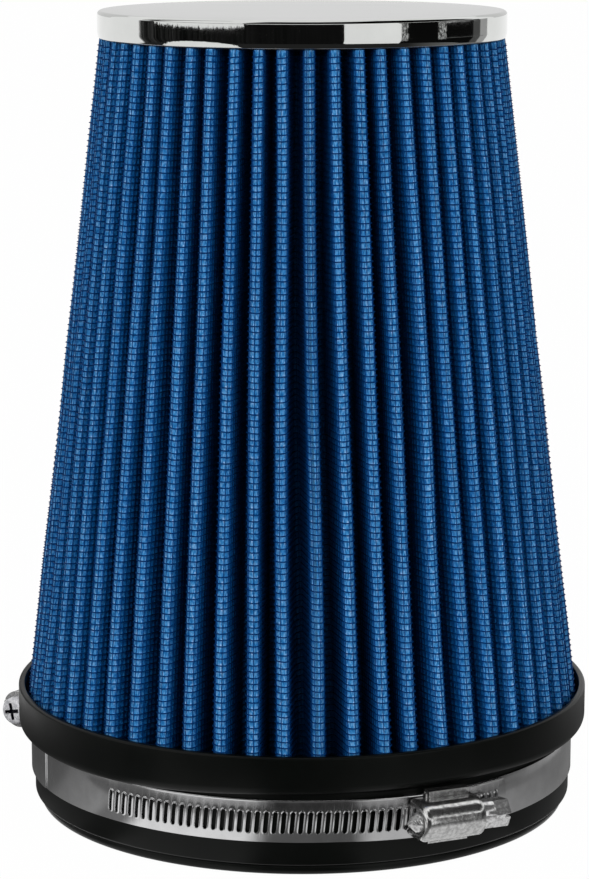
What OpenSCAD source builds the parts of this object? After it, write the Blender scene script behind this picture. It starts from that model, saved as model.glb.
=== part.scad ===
// Clamp-on cone air filter: pleated cloth between two wire screens, a steel cap on the narrow end
// and a soft moulded base whose neck is clamped on an intake tube.
// Millimetres. The axis is Z, and z = 0 is the open end of the neck.

/* [Base moulding] */
// Inside diameter of the neck, which takes the intake tube
inlet_d = 152.4; // [140:0.1:160]
// Wall thickness of the neck
neck_wall = 8; // [6:0.1:10]
// Depth of the neck, from its open end to the stop for the tube
neck_depth = 27.5; // [26:0.5:34]
// Height of the rounded foot below the groove
foot_h = 3.4; // [2.8:0.1:5]
// How far the foot is smaller than the neck, in radius
foot_step = 1.7; // [0.5:0.1:3]
// Rounding of the foot's lower edge
foot_round = 1.4; // [0.5:0.1:1.9]
// Width of the groove between the foot and the neck
groove_w = 0.9; // [0.6:0.1:1.4]
// Depth of the groove into the foot's side
groove_depth = 0.5; // [0.2:0.1:1]
// Rounding of the neck's lower edge
neck_round = 0.8; // [0.4:0.1:1.2]
// How far the lip stands out from the neck
lip_overhang = 4.8; // [4.5:0.1:6]
// Height of the lip above the stop
lip_h = 10; // [8:0.1:14]
// Width of the lip's flat rim
lip_wall = 2; // [1.2:0.1:3]
// Depth of the well that the pleats stand in, below the lip's rim
well_depth = 6.5; // [4:0.1:7]
// Width of the inner rim of the well
inner_rim_w = 1.3; // [1:0.1:2]
// Height of the inner rim above the floor of the well
inner_rim_h = 4; // [2:0.1:6]
// Rounding of the lip's outer edges
lip_round = 0.8; // [0.4:0.1:0.9]
// Rounding of the rim's inner edge
rim_round = 0.4; // [0.2:0.1:0.7]
// Rounding of the lip's underside
lip_fillet = 2.6; // [1.5:0.1:2.8]
// Rounding of the corner between the neck and the lip
neck_fillet = 1.6; // [1:0.1:1.7]

/* [Pleats] */
// Number of pleats
pleats = 54; // [40:1:60]
// Depth of a pleat in the base
pleat_depth = 13.5; // [9:0.1:15]
// Height of the pleats from the well to the cap
pleat_h = 206.3; // [150:0.1:240]
// Radius of a fold's middle line at the outer side
outer_fold_r = 1.55; // [1.3:0.05:1.8]
// Radius of a fold's middle line at the inner side
inner_fold_r = 1.9; // [1.4:0.05:2.1]
// Thickness of the filter cloth
cloth_t = 0.9; // [0.5:0.05:1]
// Thickness of each wire screen
screen_t = 0.3; // [0.2:0.05:0.35]
// Gap between the cloth and each screen
layer_gap = 0.05; // [0.02:0.01:0.08]
// Gap between the outer screen and the lip's inner wall, at the well's floor
well_gap = 0.2; // [0.1:0.1:0.6]
// Turn of the first pleat from the right-hand side
pleat_turn = -87.5; // [-90:0.5:-84]
// Mean drift of a pleat's angle from the well to the cap
pleat_lean = -1.6; // [-3:0.1:3]
// How far the drift differs between the right-hand side and the left
pleat_sway = 3.2; // [0:0.1:4]

/* [Seam clip] */
// Depth of the clip's legs along the fold
clip_leg = 6; // [4:0.5:8]
// Thickness of the clip's steel
clip_t = 0.35; // [0.25:0.05:0.4]
// Which pleat the clip closes, counted from the first
clip_pleat = 27; // [5:1:35]

/* [Cap] */
// Outside diameter of the cap
cap_d = 124; // [118:0.5:128]
// Height of the cap's side
cap_h = 8.1; // [6:0.1:12]
// Thickness of the cap's steel
cap_wall = 0.8; // [0.5:0.1:1.2]
// Rounding of the cap's upper edge
cap_round = 1.9; // [1.3:0.1:3]
// Width of the hem folded inwards at the cap's lower edge
cap_hem = 0.7; // [0.4:0.1:1]
// Height of the hem
hem_h = 1.6; // [1:0.1:2.5]
// Rounding of the hem's outer edge
hem_round = 0.4; // [0.2:0.1:0.6]
// Gap between the cap's edge and the ends of the pleats
cap_gap = 0.3; // [0.1:0.1:0.8]
// Gap between the end seal and the cap
seal_gap = 0.1; // [0.05:0.05:0.3]

/* [Clamp band] */
// Width of the clamp's strip
band_w = 12.7; // [9:0.1:14]
// Thickness of the clamp's strip
band_t = 0.7; // [0.5:0.05:0.8]
// Height of the middle of the clamp
band_z = 17.1; // [14:0.1:18]
// Gap between steel strips, plates and the neck
band_gap = 0.05; // [0.03:0.01:0.1]
// Angle between slots
slot_pitch = 1.73; // [1.65:0.005:1.8]
// Angle of the first slot
slot_first = -131.6; // [-140:0.1:-120]
// Number of slots
slot_count = 49; // [45:1:49]
// Length of a slot
slot_l = 7.4; // [6:0.1:8.4]
// Width of a slot
slot_w = 1.3; // [1.2:0.05:1.4]
// Lean of a slot
slot_lean = 5.5; // [3:0.5:7]
// Angle of the slotted strip's free end
tail_angle = -45.6; // [-48:0.1:-44]
// Rounding of the free end's corners
tail_round = 2.2; // [1:0.1:4]
// Angle from the worm's middle to the other strip's end, under the saddle
strip_end = 8.5; // [6:0.1:9]

/* [Worm housing] */
// Angle of the worm housing round the neck
worm_angle = -61; // [-64:0.5:-58]
// Height of the worm's axis
worm_z = 16.7; // [16.3:0.1:17.5]
// Lean of the worm's axis from level
worm_lean = -2; // [-2:0.5:0]
// Outside radius of the worm's thread
worm_r = 4.95; // [4.5:0.05:5.2]
// How far the thread reaches into the slots
worm_bite = 0.4; // [0.2:0.05:0.45]
// Gap between the thread and the housing
worm_gap = 0.2; // [0.1:0.05:0.3]
// Thickness of the housing's steel
housing_t = 0.7; // [0.5:0.05:1]
// Length of the housing
housing_l = 20; // [17:0.5:21]
// How far the housing's middle lies behind the worm's angle, towards its closed end
housing_shift = 2.2; // [0:0.1:3]
// Room between the strip's edges and the saddle's sides
saddle_play = 0.35; // [0.3:0.05:0.6]
// Gap between the flanges and the strip under them
flange_gap = 0.3; // [0.25:0.05:0.4]
// Rounding of the housing's closed end
housing_round = 1.6; // [1:0.1:2]
// Length of the saddle
saddle_l = 13.5; // [11:0.5:14]
// Thickness of the saddle's steel
saddle_t = 0.75; // [0.6:0.05:0.8]
// How far each end of the flanges stands out of the saddle
flange_over = 0.6; // [0.3:0.1:1]
// Room round the screw at the housing's closed end
nose_room = 0.9; // [0.6:0.1:1.2]

/* [Worm screw] */
// Diameter of the screw between its threads, and of its nose
worm_core_d = 5.8; // [4.6:0.1:6]
// Length of the nose outside the housing
nose_l = 0.6; // [0.2:0.1:3]
// Length of the pointed tip
tip_l = 2.8; // [2:0.1:5]
// Radius of the tip's blunt end
tip_r = 0.4; // [0.2:0.1:1]
// Width of a thread's crest
thread_crest = 0.5; // [0.3:0.05:0.6]
// Width of a thread at its foot, inside the core
thread_foot = 2; // [1.4:0.1:2.2]
// Length without thread at each end of the housing
thread_run = 1.6; // [1:0.1:3]
// Diameter of the collar
collar_d = 8.8; // [7.5:0.1:9.6]
// Length of the collar
collar_l = 4.1; // [2:0.1:6]
// Width across the flats of the hexagon head
hex_af = 7.94; // [7:0.01:8.5]
// Length of the hexagon head
hex_l = 5.1; // [3:0.1:8]
// Turn of the hexagon about the screw
hex_turn = 54; // [0:1:60]
// Width of the slot across the head
drive_w = 1.2; // [0.8:0.1:1.6]
// Depth of the slot across the head
drive_depth = 2; // [1:0.1:3]

/* [Lug screw] */
// Angle at which the lug screw's axis comes closest to the neck
lug_angle = 146; // [140:0.5:152]
// Distance of the lug screw's axis from the filter's axis
lug_screw_r = 94.5; // [93.5:0.5:98]
// Diameter of the lug screw
lug_screw_d = 4.8; // [4:0.1:5]
// Place of the front lug's outer face along the screw
front_lug_y = 24.8; // [20:0.1:26]
// Place of the rear lug's outer face along the screw
rear_lug_y = -6; // [-8:0.5:-4]
// Thickness of the lugs' steel
lug_t = 1.5; // [1:0.1:1.6]
// Width of the lugs
lug_w = 12; // [10:0.5:12.5]
// Angle at which the front lug's foot ends, on the way round to the worm
front_foot_end = -147.4; // [-170:0.1:-140]
// Length of the rear lug's foot along the strip
rear_foot_l = 13; // [10:0.5:16]
// Thickness of the feet
foot_t = 0.8; // [0.6:0.05:1]
// How far each strip runs on past its lug's flange
strip_past = 1; // [0.5:0.1:1.5]
// Diameter of the washer
washer_d = 12; // [10:0.1:12.5]
// Thickness of the washer
washer_t = 1.2; // [0.8:0.1:1.6]
// Diameter of the screw's head
head_d = 9; // [8:0.1:10]
// Height of the screw's head
head_h = 3.2; // [2.4:0.1:3.6]
// Chamfer of the screw's end
screw_chamfer = 0.5; // [0.2:0.1:0.8]
// Length of the screw behind the nut
screw_past = 2; // [1:0.1:6]
// Length of the cross recess's longer arm
cross_l = 5.6; // [4:0.1:6.5]
// Width of the cross recess's arms
cross_w = 1.2; // [0.8:0.1:1.6]
// Depth of the cross recess
cross_depth = 1.8; // [1:0.1:2.4]
// Turn of the cross recess
cross_turn = 12; // [0:1:45]
// Width across the flats of the nut
nut_af = 9.53; // [8:0.01:10]
// Thickness of the nut
nut_t = 3.4; // [3:0.1:4.5]
// Gap between the screw and the holes it passes
hole_gap = 0.25; // [0.1:0.05:0.5]

/* [Hidden] */
$fn = 96;
eps = 0.01;
over = 1;

// Base
inlet_r = inlet_d / 2;
neck_r = inlet_r + neck_wall;
rim_z = neck_depth + lip_h;
well_z = rim_z - well_depth;

// Pleats: offsets of each layer from the middle line of the sheet, positive to the outside
cloth_in = -cloth_t / 2;
cloth_out = cloth_t / 2;
outer_screen_in = cloth_out + layer_gap;
outer_screen_out = outer_screen_in + screen_t;
inner_screen_out = cloth_in - layer_gap;
inner_screen_in = inner_screen_out - screen_t;
clip_out = inner_screen_in - layer_gap;
clip_in = clip_out - clip_t;
cap_r = cap_d / 2;
lip_r = neck_r + lip_overhang;
well_r = lip_r - lip_wall;
foot_r = well_r - well_gap;
crest_r = foot_r - outer_screen_out;
valley_r = crest_r - pleat_depth;
pleats_top_z = well_z + pleat_h;
narrowing = (cap_r - cap_gap / 2) / foot_r;
inner_rim_narrowing = 1 - (1 - narrowing) * inner_rim_h / pleat_h;
inner_rim_r = (valley_r + clip_in) * inner_rim_narrowing - well_gap;
stop_r = inner_rim_r - inner_rim_w;

// Directions that the sheet faces on its straight walls, from a fold's own direction
wall_run = crest_r - outer_fold_r - (valley_r + inner_fold_r) * cos(180 / pleats);
wall_side = (valley_r + inner_fold_r) * sin(180 / pleats);
outer_arc = 180 - atan2(wall_side, wall_run)
    - acos((outer_fold_r + inner_fold_r) / norm([wall_run, wall_side]));
inner_arc = outer_arc - 180 / pleats;

// Cap
cap_z = pleats_top_z + cap_gap;
cap_top_z = cap_z + cap_h;
cap_inner_r = cap_r - cap_wall;
seal_r = cap_inner_r - seal_gap;

// Clamp
band_r = neck_r + band_gap;
band_outer_r = band_r + band_t;
saddle_r = band_outer_r + band_gap;
saddle_outer_r = saddle_r + saddle_t;
lifted_r = saddle_outer_r + 3 * band_gap;
tail_r = band_outer_r + 2 * band_gap;
tail_span = tail_angle - worm_angle;
lift_shift = (pow(lifted_r, 2) - pow(tail_r, 2)) / (2 * (lifted_r - tail_r * cos(tail_span)));
lift_bend_r = lifted_r - lift_shift;
lift_foot_r = band_r + band_t / 3;
lift_span = acos((pow(lift_foot_r, 2) + pow(lift_shift, 2) - pow(lift_bend_r, 2))
    / (2 * lift_foot_r * lift_shift));
lift_overlap = 1.5;
cutter_h = lifted_r + band_t - band_r + 2 * over;
worm_axis_r = lifted_r + band_t + worm_r - worm_bite;
housing_r = worm_r + worm_gap;
housing_outer_r = housing_r + housing_t;
flange_r = lifted_r + band_t + flange_gap;
saddle_half = band_w / 2 + abs(band_z - worm_z) + saddle_play;
flange_half = saddle_half - band_gap;
saddle_rise = flange_r + housing_t + band_gap;

// Lug screw
front_lug_in = front_lug_y - lug_t;
rear_lug_out = rear_lug_y - lug_t;
hole_d = lug_screw_d + 2 * hole_gap;
lug_root_r = band_outer_r + band_gap;

// Points of an arc about a centre, from one angle to another in n steps
function arc(cx, cy, r, from, to, n) =
    [for (i = [0 : n]) let (a = from + (to - from) * i / n) [cx + r * cos(a), cy + r * sin(a)]];

// Pleats at a share h of their height, 0 in the well and 1 at the cap. The i-th outer fold's angle
// drifts with the height, and an inner fold stays halfway between its neighbours.
function narrowed(h) = 1 - (1 - narrowing) * h;
function outer_turn(i, h) =
    let (a = pleat_turn + i * 360 / pleats)
    a + (h - 0.5) * (pleat_lean + pleat_sway * cos(a));
function inner_turn(i, h) = (outer_turn(i, h) + outer_turn(i + 1, h)) / 2;
function fold_point(a, r, s, h) =
    let (k = narrowed(h))
    [k * (r * cos(a) - s * sin(a)), k * (r * sin(a) + s * cos(a)), well_z + h * pleat_h];

// Points of a layer that lies d outside the sheet's middle line, round the i-th outer fold and round
// the inner fold after it
function outer_fold(i, d, h) =
    [for (t = [-1, -0.5, 0, 0.5, 1] * outer_arc)
        let (r = crest_r - outer_fold_r + (outer_fold_r + d) * cos(t), s = (outer_fold_r + d) * sin(t))
        fold_point(outer_turn(i, h), r, s, h)];
function inner_fold(i, d, h) =
    [for (t = [-1, 0, 1] * inner_arc)
        let (r = valley_r + inner_fold_r - (inner_fold_r - d) * cos(t), s = (inner_fold_r - d) * sin(t))
        fold_point(inner_turn(i, h), r, s, h)];
function layer_edge(d, h) =
    [for (i = [0 : pleats - 1]) each concat(outer_fold(i, d, h), inner_fold(i, d, h))];

// Points of the seam clip's edge: down one wall, round the i-th inner fold and up the next wall
function clip_edge(i, d, h) =
    let (
        before = outer_fold(i, d, h),
        fold = inner_fold(i, d, h),
        after = outer_fold(i + 1, d, h),
        share = clip_leg / pleat_depth,
        down = fold[0] + share * (before[len(before) - 1] - fold[0]),
        up = fold[len(fold) - 1] + share * (after[0] - fold[len(fold) - 1])
    )
    concat([down], fold, [up]);

// Solid between four lines of points: outer and inner below, outer and inner above
module loft(below_out, below_in, above_out, above_in, closed) {
    n = len(below_out);
    last = n - 1;
    steps = closed ? n : last;
    polyhedron(
        points = concat(below_out, below_in, above_out, above_in),
        faces = concat(
            [for (i = [0 : steps - 1]) let (j = (i + 1) % n) each [
                [i, 2 * n + i, 2 * n + j], [i, 2 * n + j, j],
                [n + i, n + j, 3 * n + j], [n + i, 3 * n + j, 3 * n + i],
                [i, j, n + j], [i, n + j, n + i],
                [2 * n + i, 3 * n + i, 3 * n + j], [2 * n + i, 3 * n + j, 2 * n + j]
            ]],
            closed ? [] : [
                [2 * n, 0, n], [2 * n, n, 3 * n],
                [last, 2 * n + last, 3 * n + last], [last, 3 * n + last, n + last]
            ]
        )
    );
}

module pleated_layer(d_in, d_out) {
    loft(layer_edge(d_out, 0), layer_edge(d_in, 0), layer_edge(d_out, 1), layer_edge(d_in, 1), true);
}

module pleated_media() {
    color([0.16, 0.38, 0.66])
        pleated_layer(cloth_in, cloth_out);
}

module outer_screen() {
    color([0.05, 0.13, 0.32])
        pleated_layer(outer_screen_in, outer_screen_out);
}

module inner_screen() {
    color([0.05, 0.13, 0.32])
        pleated_layer(inner_screen_in, inner_screen_out);
}

// Channel pressed over one inner fold, on the inside of the cone
module seam_clip() {
    color([0.72, 0.73, 0.75])
        loft(
            clip_edge(clip_pleat, clip_out, 0), clip_edge(clip_pleat, clip_in, 0),
            clip_edge(clip_pleat, clip_out, 1), clip_edge(clip_pleat, clip_in, 1), false
        );
}

// Soft base: foot, neck, stop for the tube, well for the pleats and lip
module base() {
    fillet_z = neck_depth + lip_fillet / 2;
    color([0.06, 0.06, 0.06])
        rotate_extrude()
            polygon(concat(
                [[inlet_r, 0]],
                arc(neck_r - foot_step - foot_round, foot_round, foot_round, -90, 0, 6),
                [[neck_r - foot_step, foot_h - groove_w]],
                [[neck_r - foot_step - groove_depth, foot_h - groove_w / 3]],
                arc(neck_r - neck_round, foot_h + neck_round, neck_round, -90, 0, 4),
                arc(neck_r + neck_fillet, fillet_z - neck_fillet - lip_fillet, neck_fillet, 180, 90, 5),
                arc(lip_r - lip_fillet, fillet_z, lip_fillet, -70, 0, 6),
                arc(lip_r - lip_round, rim_z - lip_round, lip_round, 0, 90, 4),
                arc(well_r + rim_round, rim_z - rim_round, rim_round, 90, 180, 3),
                [[well_r, well_z], [inner_rim_r, well_z]],
                [[inner_rim_r, well_z + inner_rim_h], [stop_r, well_z + inner_rim_h]],
                [[stop_r, neck_depth], [inlet_r, neck_depth]]
            ));
}

// End seal: moulded disc in the cap that holds the pleats' upper ends
module top_seal() {
    r = seal_r - cap_hem;
    top_z = cap_top_z - cap_wall;
    color([0.08, 0.08, 0.08])
        rotate_extrude()
            polygon([
                [0, pleats_top_z], [r, pleats_top_z], [r, top_z - cap_round / 2],
                [r - cap_round / 2, top_z], [0, top_z]
            ]);
}

// Pressed cap with a rounded upper edge and a hem folded inwards at its lower edge
module top_cap() {
    hem_r = cap_inner_r - cap_hem + seal_gap;
    color([0.85, 0.86, 0.88])
        rotate_extrude()
            polygon(concat(
                [[0, cap_top_z - cap_wall]],
                arc(cap_r - cap_round, cap_top_z - cap_round, cap_round - cap_wall, 90, 0, 5),
                [[cap_inner_r, cap_z + hem_h], [hem_r, cap_z + hem_h], [hem_r, cap_z]],
                arc(cap_r - hem_round, cap_z + hem_round, hem_round, -90, 0, 4),
                arc(cap_r - cap_round, cap_top_z - cap_round, cap_round, 0, 90, 8),
                [[0, cap_top_z]]
            ));
}

// Strip of the clamp's width between two angles, bent to a radius about the filter's axis
module strip(r, t, from, to, w = band_w) {
    rotate([0, 0, from])
        rotate_extrude(angle = to - from)
            translate([r, band_z - w / 2])
                square([t, w]);
}

// Part of the slotted strip that bulges out over the saddle: it leaves the neck before the worm,
// is highest at the worm's angle, and its free end comes down on the other strip
module lifted_strip(w) {
    before = asin(lift_foot_r * sin(lift_span) / lift_bend_r);
    after = asin(tail_r * sin(tail_span) / lift_bend_r);
    rotate([0, 0, worm_angle])
        translate([lift_shift, 0, 0])
            rotate([0, 0, -before])
                rotate_extrude(angle = before + after)
                    translate([lift_bend_r, band_z - w / 2])
                        square([band_t, w]);
}

// Cutter for one slanted slot, through the strip at the angle a
module slot_cutter(a) {
    rotate([0, 0, a])
        translate([band_r - over, 0, band_z])
            rotate([-slot_lean, 0, 0])
                rotate([90, 0, 90])
                    linear_extrude(height = cutter_h)
                        union() {
                            square([slot_w, slot_l - slot_w], center = true);
                            for (end = [-1, 1])
                                translate([0, end * (slot_l - slot_w) / 2])
                                    circle(d = slot_w, $fn = 24);
                        }
}

// Cutter that rounds the free end's corners
module tail_cutter() {
    reach = tail_round + over;
    for (side = [-1, 1])
        rotate([0, 0, tail_angle])
            translate([band_r - over, -tail_round, band_z + side * (band_w / 2 - tail_round)])
                rotate([90, 0, 90])
                    linear_extrude(height = cutter_h)
                        difference() {
                            translate([0, side > 0 ? 0 : -reach])
                                square([reach, reach]);
                            circle(r = tail_round, $fn = 48);
                        }
}

module slotted_band() {
    start = lug_angle + asin((front_lug_in - strip_past) / band_r) - 360;
    color([0.6, 0.6, 0.62])
        difference() {
            intersection() {
                union() {
                    strip(band_r, band_t, start, worm_angle - lift_span + lift_overlap, band_w + over);
                    lifted_strip(band_w + 2 * over);
                }
                translate([0, 0, band_z - band_w / 2])
                    cylinder(h = band_w, r = 2 * band_r);
            }
            for (i = [0 : slot_count - 1])
                slot_cutter(slot_first + i * slot_pitch);
            tail_cutter();
        }
}

module housing_band() {
    end = lug_angle + asin((rear_lug_y + strip_past) / band_r);
    color([0.6, 0.6, 0.62])
        strip(band_r, band_t, worm_angle - strip_end, end);
}

// Frame of the worm: X points outwards, Y along the worm towards its head
module worm_frame() {
    rotate([0, 0, worm_angle])
        translate([0, 0, worm_z])
            rotate([worm_lean, 0, 0])
                children();
}

// Saddle: plate between the two strips, its sides folded over the housing's flanges
module housing_saddle() {
    side_in = saddle_half;
    side_out = saddle_half + saddle_t;
    height = saddle_rise + saddle_t;
    color([0.62, 0.62, 0.64])
        worm_frame() {
            intersection() {
                difference() {
                    translate([0, 0, -side_out])
                        cylinder(h = 2 * side_out, r = saddle_outer_r);
                    translate([0, 0, -side_out - over])
                        cylinder(h = 2 * (side_out + over), r = saddle_r);
                }
                translate([saddle_r / 2, -saddle_l / 2, -side_out])
                    cube([saddle_r, saddle_l, 2 * side_out]);
            }
            for (side = [-1, 1])
                difference() {
                    translate([saddle_r - over, -saddle_l / 2, side > 0 ? side_in : -side_out])
                        cube([height - saddle_r + over, saddle_l, saddle_t]);
                    translate([0, 0, -side_out - over])
                        cylinder(h = 2 * (side_out + over), r = saddle_r);
                }
            for (side = [-1, 1])
                translate([saddle_rise, -saddle_l / 2, side > 0 ? housing_outer_r + band_gap : -side_out])
                    cube([saddle_t, saddle_l, side_out - housing_outer_r - band_gap]);
        }
}

// Housing: dome over the worm, legs, and flanges held by the saddle
module worm_housing() {
    y0 = -housing_shift - housing_l / 2;
    flange_l = saddle_l + 2 * flange_over;
    below = housing_outer_r + over;
    color([0.64, 0.64, 0.66])
        worm_frame()
            difference() {
                union() {
                    translate([worm_axis_r, y0, 0])
                        rotate([-90, 0, 0])
                            rotate_extrude()
                                polygon(concat(
                                    [[0, 0]],
                                    arc(housing_outer_r - housing_round, housing_round, housing_round,
                                        -90, 0, 5),
                                    [[housing_outer_r, housing_l], [0, housing_l]]
                                ));
                    translate([flange_r, y0 + housing_round / 2, -housing_outer_r])
                        cube([worm_axis_r - flange_r, housing_l - housing_round / 2, 2 * housing_outer_r]);
                    translate([flange_r, -flange_l / 2, -flange_half])
                        cube([housing_t, flange_l, 2 * flange_half]);
                }
                translate([worm_axis_r, y0 + housing_t, 0])
                    rotate([-90, 0, 0])
                        cylinder(h = housing_l, r = housing_r);
                translate([worm_axis_r, y0 - over, 0])
                    rotate([-90, 0, 0])
                        cylinder(h = housing_l + 2 * over, r = worm_core_d / 2 + nose_room);
                translate([worm_axis_r - below, y0 - over, -housing_r])
                    cube([below, housing_l + 2 * over, 2 * housing_r]);
                translate([0, 0, -below])
                    cylinder(h = 2 * below, r = flange_r - eps);
            }
}

// Worm screw: tip, nose, threads as rings that stand in the strip's slots, collar and slotted head
module worm_screw() {
    half = housing_l / 2;
    nose_y = half + housing_shift + nose_l;
    core = worm_core_d / 2;
    head_y = half - housing_shift + worm_gap;
    hex_y = head_y + collar_l;
    bite_r = lifted_r + band_t;
    color([0.7, 0.7, 0.72])
        worm_frame()
            translate([worm_axis_r, 0, 0])
                difference() {
                    union() {
                        rotate([-90, 0, 0])
                            translate([0, 0, -nose_y])
                                cylinder(h = nose_y + head_y, r = core);
                        rotate([90, 0, 0])
                            translate([0, 0, nose_y])
                                cylinder(h = tip_l, r1 = core, r2 = tip_r, $fn = 8);
                        for (i = [0 : slot_count - 1])
                            let (y = bite_r * tan(slot_first + i * slot_pitch - worm_angle))
                            if (abs(y + housing_shift) < half - thread_run)
                                translate([0, y, 0])
                                    rotate([-90, 0, 0])
                                        rotate_extrude()
                                            polygon([
                                                [core - over / 2, -thread_foot / 2],
                                                [worm_r, -thread_crest / 2],
                                                [worm_r, thread_crest / 2],
                                                [core - over / 2, thread_foot / 2]
                                            ]);
                        translate([0, head_y, 0])
                            rotate([-90, 0, 0])
                                cylinder(h = collar_l, d = collar_d);
                        translate([0, hex_y, 0])
                            rotate([-90, hex_turn, 0])
                                cylinder(h = hex_l, d = hex_af / cos(30), $fn = 6);
                    }
                    translate([-collar_d, hex_y + hex_l - drive_depth, -drive_w / 2])
                        cube([2 * collar_d, drive_depth + over, drive_w]);
                }
}

// Frame of the lug screw: X points outwards, Y along the screw towards its head
module lug_frame() {
    rotate([0, 0, lug_angle])
        translate([0, 0, band_z])
            children();
}

// Angle round the filter at which a plane square to the lug screw meets the feet
function lug_turn(y) = lug_angle + asin(y / lug_root_r);

// Lug: flange square to the screw, on a foot bent round the strip between two angles
module lug(y, from, to) {
    root_r = lug_root_r;
    flange_root = sqrt(pow(root_r, 2) - pow(max(abs(y), abs(y + lug_t)), 2)) - 0.5;
    color([0.6, 0.6, 0.62])
        difference() {
            union() {
                strip(root_r, foot_t, from, to);
                lug_frame() {
                    translate([flange_root, y, -lug_w / 2])
                        cube([lug_screw_r - flange_root, lug_t, lug_w]);
                    translate([lug_screw_r, y, 0])
                        rotate([-90, 0, 0])
                            cylinder(h = lug_t, r = lug_w / 2);
                }
            }
            lug_frame()
                translate([lug_screw_r, y - over, 0])
                    rotate([-90, 0, 0])
                        cylinder(h = lug_t + 2 * over, d = hole_d);
            translate([0, 0, band_z - lug_w])
                cylinder(h = 2 * lug_w, r = root_r);
        }
}

module front_lug() {
    lug(front_lug_in, lug_turn(front_lug_in + lug_t / 2), front_foot_end + 360);
}

module rear_lug() {
    lug(rear_lug_out, lug_turn(rear_lug_out + lug_t / 2 - rear_foot_l), lug_turn(rear_lug_out + lug_t / 2));
}

module lug_washer() {
    color([0.8, 0.8, 0.8])
        lug_frame()
            translate([lug_screw_r, front_lug_y + band_gap, 0])
                rotate([-90, 0, 0])
                    difference() {
                        cylinder(h = washer_t, d = washer_d);
                        translate([0, 0, -over])
                            cylinder(h = washer_t + 2 * over, d = hole_d);
                    }
}

module lug_screw() {
    seat = front_lug_y + washer_t + 2 * band_gap;
    end = rear_lug_out - nut_t - screw_past;
    stem_r = lug_screw_d / 2;
    head_r = head_d / 2;
    color([0.82, 0.82, 0.82])
        lug_frame()
            translate([lug_screw_r, 0, 0])
                difference() {
                    rotate([-90, 0, 0])
                        rotate_extrude()
                            polygon(concat(
                                [[0, end], [stem_r - screw_chamfer, end], [stem_r, end + screw_chamfer]],
                                [[stem_r, seat], [head_r, seat], [head_r, seat + head_h / 2]],
                                arc(head_r - head_h / 2, seat + head_h / 2, head_h / 2, 15, 90, 5),
                                [[0, seat + head_h]]
                            ));
                    translate([0, seat + head_h, 0])
                        rotate([0, cross_turn, 0])
                            for (turn = [0, 90])
                                rotate([0, turn, 0])
                                    cube([cross_l, 2 * cross_depth, cross_w], center = true);
                }
}

module lug_nut() {
    color([0.7, 0.7, 0.7])
        lug_frame()
            translate([lug_screw_r, rear_lug_out - nut_t - band_gap, 0])
                rotate([-90, 0, 0])
                    difference() {
                        cylinder(h = nut_t, d = nut_af / cos(30), $fn = 6);
                        translate([0, 0, -over])
                            cylinder(h = nut_t + 2 * over, d = lug_screw_d + 2 * band_gap);
                    }
}

base();
pleated_media();
outer_screen();
inner_screen();
seam_clip();
top_seal();
top_cap();
slotted_band();
housing_band();
housing_saddle();
worm_housing();
worm_screw();
front_lug();
rear_lug();
lug_screw();
lug_washer();
lug_nut();
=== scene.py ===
"""The looks of the clamp-on cone air filter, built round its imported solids.

Meshes are worked out in millimetres and handed to Blender in metres; the stage, its cards, the
lights and the camera are in metres. The filter's axis is Z, and z = 0 is the open end of the neck.
Angles are degrees round the axis from +X; the camera stands at -Y. The cards' azimuths count from
the camera.
"""

import math

import bmesh
import bpy
import numpy as np
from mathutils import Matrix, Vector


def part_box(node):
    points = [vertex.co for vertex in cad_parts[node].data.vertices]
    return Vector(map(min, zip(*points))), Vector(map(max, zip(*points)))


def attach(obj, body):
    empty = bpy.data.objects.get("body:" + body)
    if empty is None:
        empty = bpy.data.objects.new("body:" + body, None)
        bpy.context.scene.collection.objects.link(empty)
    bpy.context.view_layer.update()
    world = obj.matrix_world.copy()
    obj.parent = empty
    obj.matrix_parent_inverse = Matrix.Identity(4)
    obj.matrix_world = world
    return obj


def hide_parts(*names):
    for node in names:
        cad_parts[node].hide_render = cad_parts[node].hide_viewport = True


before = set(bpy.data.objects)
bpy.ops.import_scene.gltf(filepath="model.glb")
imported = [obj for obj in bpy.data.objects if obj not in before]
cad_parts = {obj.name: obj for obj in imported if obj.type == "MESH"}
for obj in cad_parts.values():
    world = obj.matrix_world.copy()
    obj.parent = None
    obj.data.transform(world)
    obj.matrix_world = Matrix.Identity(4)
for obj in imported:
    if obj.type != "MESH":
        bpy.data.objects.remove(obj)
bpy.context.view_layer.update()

MM = 0.001
SEED = 5


def node_box(name):
    """Lowest and highest corner of a solid, in millimetres."""
    low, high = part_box(name)
    return np.array(low) / MM, np.array(high) / MM


# ---------------------------------------------------------------- sizes, in millimetres
PLEATS = 54
FIRST_PLEAT = -87.5
PLEAT_DEPTH = 13.5
FOLD_OUT_LOW, FOLD_OUT_HIGH = 1.45, 1.1
FOLD_IN_LOW, FOLD_IN_HIGH = 1.9, 1.25
CLOTH_BACK, CLOTH_FACE = -0.45, 0.30
UPRIGHT_D, LEVEL_D = 0.26, 0.46
UPRIGHT_OFF, LEVEL_OFF = 0.42, 0.69
INNER_UPRIGHT_D, INNER_LEVEL_D = 0.28, 0.38
INNER_UPRIGHT_OFF, INNER_LEVEL_OFF = CLOTH_BACK - 0.25, CLOTH_BACK - 0.5
# scatter of the wires: millimetres up and along the screen, shares of the pitch for uprights
LEVEL_SCATTER, UPRIGHT_SCATTER, UPRIGHT_SWAY = 0.07, 0.13, 0.05
LEVEL_LAST, LEVEL_LIMIT = 0.3, 0.25
STACK = LEVEL_OFF + LEVEL_D / 2
LEVEL_PITCH, UPRIGHT_PITCH, INNER_PITCH = 1.8, 1.36, 4.0

media_low, media_high = node_box("outer_screen")
WELL_Z, TOP_Z = media_low[2], media_high[2]
BOTTOM_R, TOP_R = 86.8, 61.85
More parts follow.
